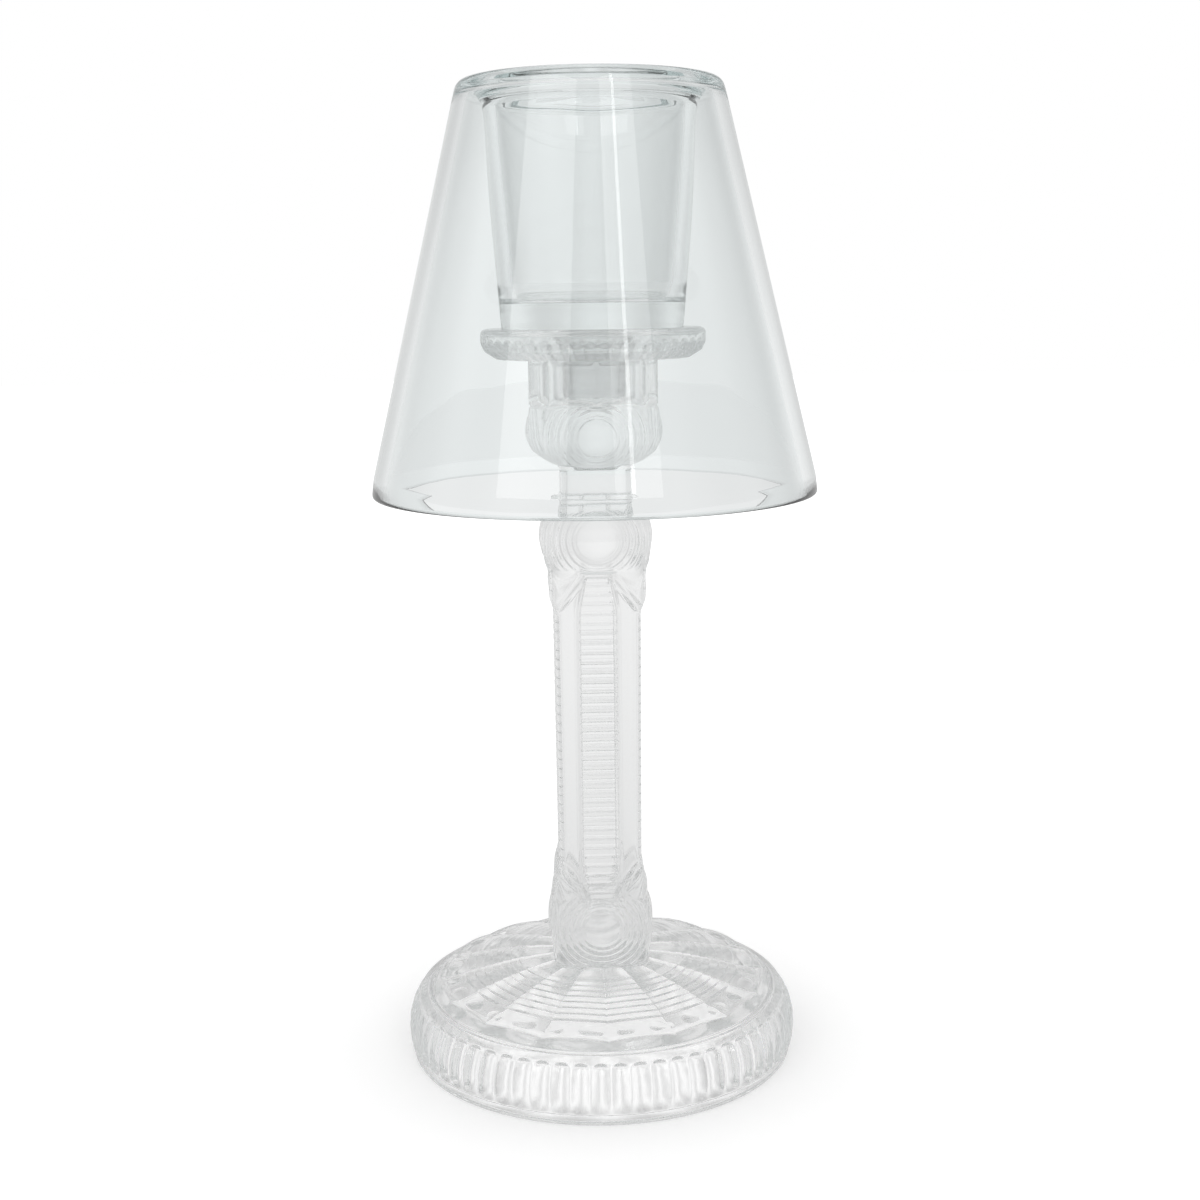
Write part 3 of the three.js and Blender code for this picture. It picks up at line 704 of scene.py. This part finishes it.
def cup_sway(angles, r, z):
    """Slow unevenness, as pressed glass has, of the cup's inner wall and the lower part of its outer wall."""
    wall = smoothstep(z, CUP_FLOOR + 3, CUP_FLOOR + 9) * (r < CUP_RADIUS - 2.2) * (r > 12)
    below_rim = 1 - smoothstep(z, CUP_TOP - 8, CUP_TOP - 2)
    return wall * below_rim * CUP_SWAY * np.sin(CUP_SWAY_WAVES * angles + CUP_SWAY_TWIST * z)


def make_cup():
    corners = [
        (1.0, PEG_END, 0), (PEG_RADIUS - 0.6, PEG_END, 1.0), (PEG_RADIUS, CUP_BOTTOM, 0.8),
        (CUP_FOOT_RADIUS - 0.5, CUP_BOTTOM, 0.9), (CUP_FOOT_RADIUS, CUP_BOTTOM + 3.5, 2.0),
        (CUP_FOOT_RADIUS + 0.6, CUP_FLOOR + 3.5, 6.0), (CUP_RADIUS, CUP_TOP, 1.7),
        (CUP_RADIUS - CUP_RIM_WALL, CUP_TOP, 1.7), (CUP_FOOT_RADIUS + 0.8 - CUP_LOW_WALL, CUP_FLOOR + 5, 6.0),
        (CUP_FOOT_RADIUS - CUP_LOW_WALL - 0.2, CUP_FLOOR, 1.8), (1.0, CUP_FLOOR, 0),
    ]
    return revolved("cup_glass", corners, PLAIN_COLUMNS, step=1.2, sway=cup_sway)


def make_sleeve():
    """A tube round the peg, with ribs that stand out to the bore."""
    inner, outer = PEG_RADIUS + SLEEVE_GAP, SLEEVE_RADIUS - SLEEVE_GAP
    pitch = (SLEEVE_TOP - SLEEVE_END) / SLEEVE_RIBS
    corners = [(inner, SLEEVE_TOP, 0.3), (inner, SLEEVE_END, 0.3), (outer, SLEEVE_END, 0.3)]
    for rib in range(SLEEVE_RIBS):
        z = SLEEVE_END + (rib + 0.5) * pitch
        corners += [(outer, z - SLEEVE_RIB_HALF_HEIGHT, 0.5), (SLEEVE_RADIUS - 0.02, z, 0.5),
                    (outer, z + SLEEVE_RIB_HALF_HEIGHT, 0.5)]
    corners.append((outer, SLEEVE_TOP, 0.3))
    return revolved("sleeve_rubber", corners, SLEEVE_COLUMNS, step=0.8, closed=True)


def shade_sway(angles, r, z):
    """Slow streaks down the inside of the blown wall."""
    body = smoothstep(z, SHADE_END, SHADE_END + 6) * (1 - smoothstep(z, SHADE_CONE_TOP - 12, SHADE_CONE_TOP))
    wave = sum(share * np.sin(waves * angles + phase + twist * z)
               for waves, phase, twist, share in SHADE_STREAKS)
    cone_slope = (SHADE_RADIUS - SHADE_CONE_TOP_RADIUS) / SHADE_CONE_HEIGHT
    inside = r < SHADE_RADIUS - (z - SHADE_END) * cone_slope - SHADE_WALL / 2
    return body * inside * SHADE_SWAY * wave


def make_shade():
    skirt_top, skirt_radius = SHADE_END + SHADE_SKIRT, SHADE_RADIUS - 0.7
    inner_top = SHADE_CONE_TOP_RADIUS - SHADE_WALL
    corners = [
        (SHADE_RADIUS, SHADE_END, 1.2), (skirt_radius, skirt_top, 8.0),
        (SHADE_CONE_TOP_RADIUS, SHADE_CONE_TOP - 1.0, 1.5),
        (SHADE_CONE_TOP_RADIUS - 1.4, SHADE_TOP - 0.1, 5.2),
        (SHADE_HOLE_RADIUS + 4.6, SHADE_TOP, 3.0), (SHADE_HOLE_RADIUS, SHADE_TOP - 3.2, 1.6),
        (SHADE_HOLE_RADIUS, SHADE_REST, 1.8), (SHADE_HOLE_RADIUS + 5.4, SHADE_REST, 1.0),
        (SHADE_HOLE_RADIUS + 6.2, SHADE_TOP - 4.2, 1.2), (inner_top - 0.4, SHADE_TOP - 4.2, 1.8),
        (skirt_radius - SHADE_WALL, skirt_top, 8.0), (SHADE_RADIUS - SHADE_WALL + 0.6, SHADE_END, 1.2),
    ]
    corners.reverse()
    made = revolved("shade_glass", corners, SHADE_COLUMNS, step=2.0, sway=shade_sway, closed=True)
    made.data.flip_normals()
    return made


# Shader nodes

def node(tree, kind, **inputs):
    """A new node. Each input, with _ for a blank in its name, gets a value or another node's output."""
    made = tree.nodes.new(kind)
    for name, value in inputs.items():
        feed(tree, value, made.inputs[name.replace("_", " ")])
    return made


def feed(tree, value, socket):
    if isinstance(value, bpy.types.NodeSocket):
        tree.links.new(value, socket)
    else:
        socket.default_value = value


def maths(tree, operation, *values):
    made = tree.nodes.new("ShaderNodeMath")
    made.operation = operation
    for value, socket in zip(values, made.inputs):
        feed(tree, value, socket)
    return made.outputs["Value"]


def grey(tone):
    return (tone, tone, tone, 1)


def ramped(tree, value, low, high, stops):
    """A number that follows (place, number) stops, as the value goes from low to high."""
    share = node(tree, "ShaderNodeMapRange", Value=value, From_Min=low, From_Max=high)
    made = node(tree, "ShaderNodeValToRGB", Fac=share.outputs["Result"])
    elements = made.color_ramp.elements
    elements.remove(elements[-1])
    for number, (place, tone) in enumerate(stops):
        position = (place - low) / (high - low)
        stop = elements[0] if number == 0 else elements.new(position)
        stop.position = position
        stop.color = grey(tone)
    return made.outputs["Color"]


# Materials

GLASS_IOR = 1.5
RUBBER_IOR = 1.42
HAZE_FINENESS = 4.5  # the haze's noise against the ripple's
# How much rougher the pressed glass is at heights in millimetres
FROST = ((0, 0.02), (14, 0.02), (17.5, 0.16), (20.5, 0.14), (22, 0.03), (28, 0.05), (34, 0.19),
         (58, 0.16), (66, 0.07), (130, 0.07), (138, 0.15), (200, 0.16), (208, 0.12))


def transparent(name, ior):
    """A material that lets light through, with its node tree and its shader."""
    material = bpy.data.materials.new(name)
    material.use_nodes = True
    shader = material.node_tree.nodes["Principled BSDF"]
    shader.inputs["Transmission Weight"].default_value = 1.0
    shader.inputs["IOR"].default_value = ior
    return material, material.node_tree, shader


def glass(name, skin, tint, density, ripple, ripple_scale, stretch, haze=(0.0, 0.02), frost=None):
    """Clear glass: skin tints each face, absorption tints its depth, and noise gives ripple and haze."""
    material, tree, shader = transparent(name, GLASS_IOR)
    shader.inputs["Base Color"].default_value = skin
    place = node(tree, "ShaderNodeTexCoord").outputs["Object"]
    stretched = node(tree, "ShaderNodeMapping", Vector=place, Scale=stretch).outputs["Vector"]
    coarse = node(tree, "ShaderNodeTexNoise", Vector=stretched, Scale=ripple_scale, Detail=2.0,
                  Roughness=0.45)
    fine = node(tree, "ShaderNodeTexNoise", Vector=stretched, Scale=ripple_scale * HAZE_FINENESS, Detail=3.0,
                Roughness=0.5)
    bump = node(tree, "ShaderNodeBump", Height=coarse.outputs["Fac"], Strength=ripple, Distance=0.001)
    tree.links.new(bump.outputs["Normal"], shader.inputs["Normal"])
    hazy = node(tree, "ShaderNodeMapRange", Value=fine.outputs["Fac"], To_Min=haze[0], To_Max=haze[1])
    roughness = hazy.outputs["Result"]
    if frost:
        height = node(tree, "ShaderNodeSeparateXYZ", Vector=place).outputs["Z"]
        stops = [(z * MM, rougher) for z, rougher in frost]
        roughness = maths(tree, "ADD", roughness, ramped(tree, height, 0.0, COLLAR_TOP * MM, stops))
    tree.links.new(roughness, shader.inputs["Roughness"])
    absorb = node(tree, "ShaderNodeVolumeAbsorption", Color=tint, Density=density)
    tree.links.new(absorb.outputs["Volume"], tree.nodes["Material Output"].inputs["Volume"])
    return material


def clear_rubber():
    material, tree, shader = transparent("clear_rubber", RUBBER_IOR)
    shader.inputs["Roughness"].default_value = 0.2
    place = node(tree, "ShaderNodeTexCoord").outputs["Object"]
    noise = node(tree, "ShaderNodeTexNoise", Vector=place, Scale=260.0, Detail=2.0)
    tone = node(tree, "ShaderNodeMapRange", Value=noise.outputs["Fac"], To_Min=0.94, To_Max=0.99)
    tree.links.new(tone.outputs["Result"], shader.inputs["Base Color"])
    return material


# Studio

# The room that glass shows, by the Z of the direction: -1 straight down, 0 level and 1 straight up
BACKDROP_TONE = 0.93
ROOM_TONE = 0.78
CEILING_TONE = 1.0
ROOM_TONES = ((-1.0, BACKDROP_TONE), (0.08, BACKDROP_TONE), (0.28, ROOM_TONE), (0.7, ROOM_TONE),
              (1.0, CEILING_TONE))
# It has lighter and darker uprights at even angles all round, and the floor has bands to match
UPRIGHT_COUNT = 8
DARK_UPRIGHT = 0.74
DARK_FLOOR_BAND = 0.58
# Under the foot the floor has a painted streak of light and shade for each petal, as the glass foot throws,
# which gives way to the bands over these metres
DARK_PAINTED_STREAK = 0.72
PAINTED_STREAKS_END = (0.06, 0.25)
# The light that the object gets from all round
WORLD_LIGHT = 0.8
FLOOR_TONE = 0.6
FLOOR_REACH = 4000.0
FLOOR_DROP = 0.05
# How much the floor glows at distances in metres from the object's axis, to the camera and in glass
# To the camera the glow is weaker near the foot, which deepens the shadow there as painted shade, and
# stronger far out where the lamps' light falls off
FLOOR_GLOW = ((0.06, 0.46), (0.12, 0.54), (0.3, 0.6), (0.6, 0.66), (1.1, 0.8))
# In glass the floor glows bright under the foot as painted light from the glass foot, and dim just past its
# ring as a painted contact shadow
FLOOR_GLOW_IN_GLASS = ((0.0, 0.75), (0.044, 0.72), (0.056, 0.26), (0.15, 0.27), (0.5, 0.34), (1.0, 0.39))
FLOOR_GLOW_REACH = 1.2
LAMP_TARGET = 0.55  # share of the object's height


def showing_rays(tree):
    """Two numbers, 1 or 0: whether the camera sent the ray, and whether the camera or glass shows it."""
    rays = tree.nodes.new("ShaderNodeLightPath").outputs
    shown = maths(tree, "MAXIMUM", rays["Is Camera Ray"], rays["Is Glossy Ray"])
    return rays["Is Camera Ray"], maths(tree, "MAXIMUM", shown, rays["Is Transmission Ray"])


def mixed(tree, factor, off, on):
    """A number that goes from off to on with a 0 to 1 factor."""
    return node(tree, "ShaderNodeMix", Factor=factor, A=off, B=on).outputs["Result"]


def around(tree, axes, count, darkest):
    """From the darkest to 1 and back around the vertical axis, count times."""
    turn = maths(tree, "ARCTAN2", axes.outputs["X"], axes.outputs["Y"])
    wave = maths(tree, "COSINE", maths(tree, "MULTIPLY", turn, count))
    tone = node(tree, "ShaderNodeMapRange", Value=wave, From_Min=-1.0, From_Max=1.0, To_Min=darkest)
    return tone.outputs["Result"]


def make_world():
    """White to the camera, a room of lighter and darker uprights in glass, and soft light to the rest."""
    world = bpy.data.worlds.new("studio")
    bpy.context.scene.world = world
    world.use_nodes = True
    tree = world.node_tree
    by_camera, shown = showing_rays(tree)
    place = node(tree, "ShaderNodeTexCoord")
    axes = node(tree, "ShaderNodeSeparateXYZ", Vector=place.outputs["Generated"])
    tones = ramped(tree, axes.outputs["Z"], -1.0, 1.0, ROOM_TONES)
    room = maths(tree, "MULTIPLY", tones, around(tree, axes, UPRIGHT_COUNT, DARK_UPRIGHT))
    background = tree.nodes["Background"]
    background.inputs["Color"].default_value = grey(1)
    tree.links.new(mixed(tree, shown, WORLD_LIGHT, mixed(tree, by_camera, room, 1.0)),
                   background.inputs["Strength"])
    tree.links.new(background.outputs["Background"], tree.nodes["World Output"].inputs["Surface"])


def make_floor():
    """A matte floor that also glows, not to the rest: whitish to the camera with painted shade near the foot;
    in glass darker and banded, with painted light and painted streaks under the foot and a painted shadow
    round its ring.
    """
    low, high = -FLOOR_REACH, FLOOR_REACH
    corners = np.array([(low, low, -FLOOR_DROP), (high, low, -FLOOR_DROP),
                        (high, high, -FLOOR_DROP), (low, high, -FLOOR_DROP)])
    floor = mesh_from("floor", corners, [(0, 1, 2, 3)], [])
    material = bpy.data.materials.new("pale_floor")
    material.use_nodes = True
    tree = material.node_tree
    tree.nodes.remove(tree.nodes["Principled BSDF"])
    by_camera, shown = showing_rays(tree)
    place = tree.nodes.new("ShaderNodeNewGeometry").outputs["Position"]
    axes = node(tree, "ShaderNodeSeparateXYZ", Vector=place)
    length = node(tree, "ShaderNodeVectorMath", Vector=place)
    length.operation = "LENGTH"
    away = length.outputs["Value"]
    near, far = PAINTED_STREAKS_END
    past_streaks = node(tree, "ShaderNodeMapRange", Value=away, From_Min=near, From_Max=far)
    # Painted streaks of light and shade under the foot, one for each petal
    streaks = around(tree, axes, PETAL_COUNT, DARK_PAINTED_STREAK)
    bands = around(tree, axes, UPRIGHT_COUNT, DARK_FLOOR_BAND)
    banded = mixed(tree, past_streaks.outputs["Result"], streaks, bands)
    # Near the foot these glows are painted: shade to the camera; light under the foot and shadow round its
    # ring in glass
    to_camera, in_glass = (ramped(tree, away, 0.0, FLOOR_GLOW_REACH, glow)
                           for glow in (FLOOR_GLOW, FLOOR_GLOW_IN_GLASS))
    seen_glow = mixed(tree, by_camera, maths(tree, "MULTIPLY", in_glass, banded), to_camera)
    glow = node(tree, "ShaderNodeEmission", Color=grey(1), Strength=mixed(tree, shown, 0.0, seen_glow))
    matte = node(tree, "ShaderNodeBsdfDiffuse", Color=grey(FLOOR_TONE))
    both = tree.nodes.new("ShaderNodeAddShader")
    tree.links.new(matte.outputs["BSDF"], both.inputs[0])
    tree.links.new(glow.outputs["Emission"], both.inputs[1])
    tree.links.new(both.outputs["Shader"], tree.nodes["Material Output"].inputs["Surface"])
    floor.data.materials.append(material)


def make_lamp(name, azimuth, elevation, distance, width, height, radiance):
    """An area lamp that faces the object and shows in reflections only, in metres and degrees.

    Azimuth 0 is in front, and positive is to the right.
    """
    target = Vector((0, 0, SHADE_TOP * LAMP_TARGET * MM))
    turn, lift = math.radians(azimuth), math.radians(elevation)
    away = Vector((math.sin(turn) * math.cos(lift), -math.cos(turn) * math.cos(lift), math.sin(lift)))
    light = bpy.data.lights.new(name, "AREA")
    light.shape = "RECTANGLE"
    light.size, light.size_y = width, height
    light.energy = radiance * math.pi * width * height
    lamp = bpy.data.objects.new(name, light)
    bpy.context.scene.collection.objects.link(lamp)
    lamp.location = target + away * distance
    lamp.rotation_mode = "QUATERNION"
    lamp.rotation_quaternion = (-away).to_track_quat("-Z", "Y")
    lamp.visible_camera = False
    lamp.visible_transmission = False


def make_lamps():
    make_lamp("panel_left", azimuth=-35, elevation=28, distance=1.5, width=0.92, height=0.75, radiance=1.8)
    make_lamp("panel_right", azimuth=20, elevation=28, distance=1.5, width=0.61, height=0.75, radiance=1.8)
    make_lamp("strip", azimuth=17, elevation=28, distance=1.4, width=0.05, height=0.75, radiance=4.2)


# Camera, in millimetres, degrees and pixels of the photograph

CAMERA_DISTANCE = 491.3
CAMERA_HEIGHT = 224.9
CAMERA_OFFSET = 1.1
CAMERA_AZIMUTH = -2.5
CAMERA_PITCH = 10.26
CAMERA_ROLL = 0.73
FOCAL_PIXELS = 1709.8
FRAME_PIXELS = 1200
SENSOR = 36.0
CLIP_METRES = (0.01, 20)


def make_camera():
    turn, pitch, roll = (math.radians(a) for a in (CAMERA_AZIMUTH, CAMERA_PITCH, CAMERA_ROLL))
    right = Vector((math.cos(turn), math.sin(turn), 0))
    ahead = Vector((-math.sin(turn), math.cos(turn), 0))
    view = ahead * math.cos(pitch) - Vector((0, 0, 1)) * math.sin(pitch)
    upward = right.cross(view)
    rolled_right = right * math.cos(roll) - upward * math.sin(roll)
    rolled_up = right * math.sin(roll) + upward * math.cos(roll)
    place = (right * CAMERA_OFFSET - ahead * CAMERA_DISTANCE + Vector((0, 0, CAMERA_HEIGHT))) * MM
    turned = Matrix((rolled_right, rolled_up, -view)).transposed().to_4x4()
    data = bpy.data.cameras.new("camera")
    data.sensor_width = SENSOR
    data.lens = FOCAL_PIXELS / FRAME_PIXELS * SENSOR
    data.clip_start, data.clip_end = CLIP_METRES
    camera = bpy.data.objects.new("camera", data)
    bpy.context.scene.collection.objects.link(camera)
    camera.matrix_world = Matrix.Translation(place) @ turned
    bpy.context.scene.camera = camera


def dress(made, material, nodes, body):
    made.data.materials.append(material)
    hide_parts(nodes)
    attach(made, body)


# Light crosses many faces inside cut glass before it comes out
LIGHT_BOUNCES = 32

CLEAR, GREYER, COOL = (1, 1, 1, 1), (0.94, 0.945, 0.945, 1), (0.965, 0.983, 0.983, 1)
GREEN_GREY, PALE_BLUE_GREY = (0.5, 0.6, 0.58, 1), (0.6, 0.71, 0.71, 1)


def main():
    make_camera()
    make_world()
    make_floor()
    make_lamps()
    pressed = glass("pressed_glass", skin=CLEAR, tint=GREEN_GREY, density=2.0, ripple=0.05, ripple_scale=90.0,
                    stretch=(1, 1, 1), haze=(-0.02, 0.03), frost=FROST)
    cup = glass("cup_glass", skin=GREYER, tint=GREEN_GREY, density=3.0, ripple=0.05, ripple_scale=45.0,
                stretch=(1, 1, 0.35))
    blown = glass("blown_glass", skin=COOL, tint=PALE_BLUE_GREY, density=8.0, ripple=0.06, ripple_scale=26.0,
                  stretch=(1, 1, 0.16))
    dress(make_candlestick(), pressed, "candlestick", "candlestick")
    dress(make_cup(), cup, "votive_cup", "cup")
    dress(make_sleeve(), clear_rubber(), "peg_sleeve", "cup")
    dress(make_shade(), blown, "glass_shade", "shade")
    scene = bpy.context.scene
    scene.view_settings.view_transform = "Standard"
    scene.cycles.max_bounces = LIGHT_BOUNCES
    scene.cycles.transmission_bounces = LIGHT_BOUNCES
    scene.cycles.glossy_bounces = LIGHT_BOUNCES


main()
